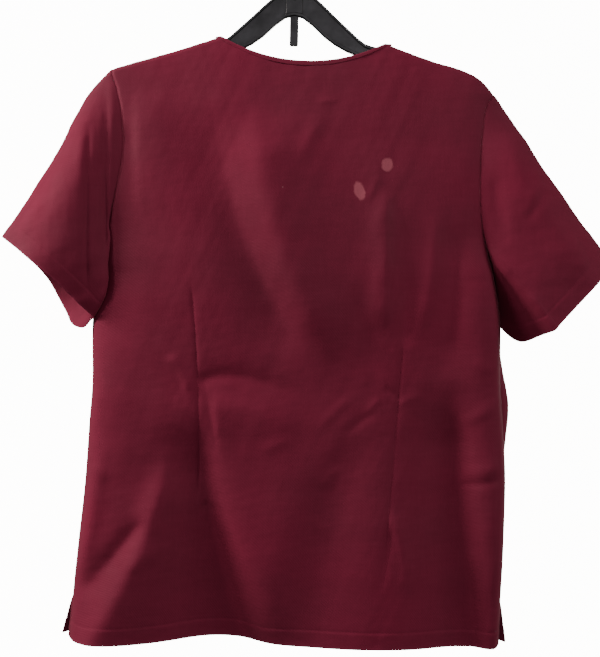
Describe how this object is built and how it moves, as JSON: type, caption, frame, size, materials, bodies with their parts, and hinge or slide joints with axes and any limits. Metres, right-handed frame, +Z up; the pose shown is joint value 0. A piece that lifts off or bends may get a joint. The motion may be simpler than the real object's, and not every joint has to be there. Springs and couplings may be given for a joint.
{
  "type": "short-sleeved medical scrub top on a moulded hanger",
  "caption": "Fitted short-sleeved scrub top with V-neck, waist darts and side vents, hanging on a one-piece moulded hanger.",
  "frame": {"origin": "inside top of the hook, where a rail carries the hanger", "axes": "+Z up, +Y out of the garment's front, +X towards the wearer's right"},
  "size_m": [0.6721, 0.1196, 0.7901],
  "materials": {
    "scrub_cloth": "fine twill poly-viscose, matt with a soft sheen, wine red",
    "neck_cloth": "the same cloth, folded and topstitched",
    "hanger_plastic": "black moulded polystyrene, satin gloss"
  },
  "bodies": {
    "root": {"back_panel": "scrub_cloth", "front_panel": "scrub_cloth", "sleeve_left": "scrub_cloth", "sleeve_right": "scrub_cloth", "neck_band": "neck_cloth", "hanger": "hanger_plastic"}
  },
  "joints": []
}
